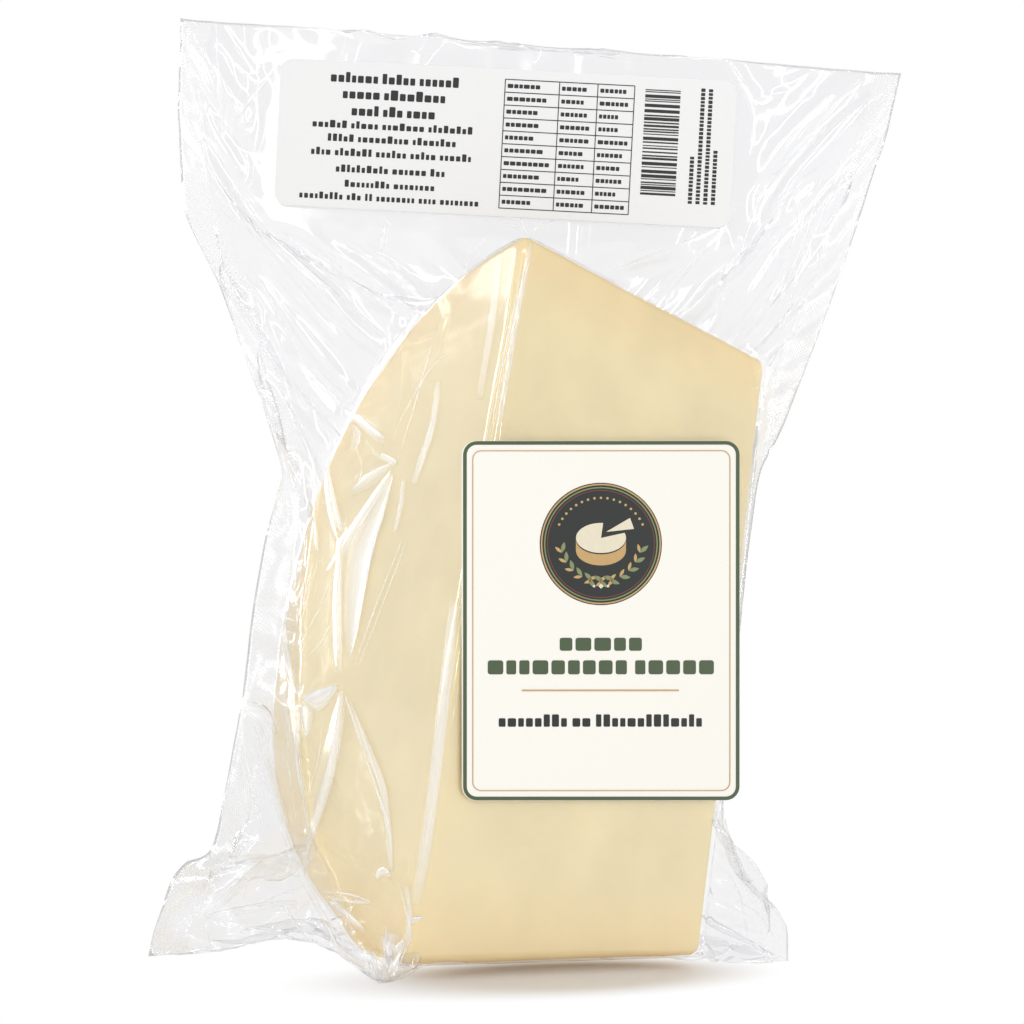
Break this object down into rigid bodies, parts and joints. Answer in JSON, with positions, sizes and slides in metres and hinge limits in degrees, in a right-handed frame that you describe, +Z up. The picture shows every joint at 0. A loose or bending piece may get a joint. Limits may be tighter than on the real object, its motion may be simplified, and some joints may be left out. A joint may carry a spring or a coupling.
{
  "type": "provolone cheese",
  "caption": "Half wheel of pale provolone shrunk into a clear sealed bag, standing on end, with a card on its cut face and a paper label on the bag's flap.",
  "frame": {"origin": "on the table under the middle of the pack's bounding box", "axes": "+X to the right as the pack is seen from the front, +Y away from the viewer, +Z up"},
  "size_m": [0.2342, 0.1538, 0.2744],
  "materials": {
    "wrapped_cheese": "clear film drawn tight over pale cheese",
    "cheese": "smooth pale yellow cheese paste, slightly waxy",
    "film": "clear glossy polythene and nylon film with fine creases",
    "card": "smooth ivory card with a printed border",
    "paper": "white label paper under film gloss"
  },
  "bodies": {
    "root": {"bag": "wrapped_cheese", "front_label": "card", "back_label": "paper"}
  },
  "joints": []
}
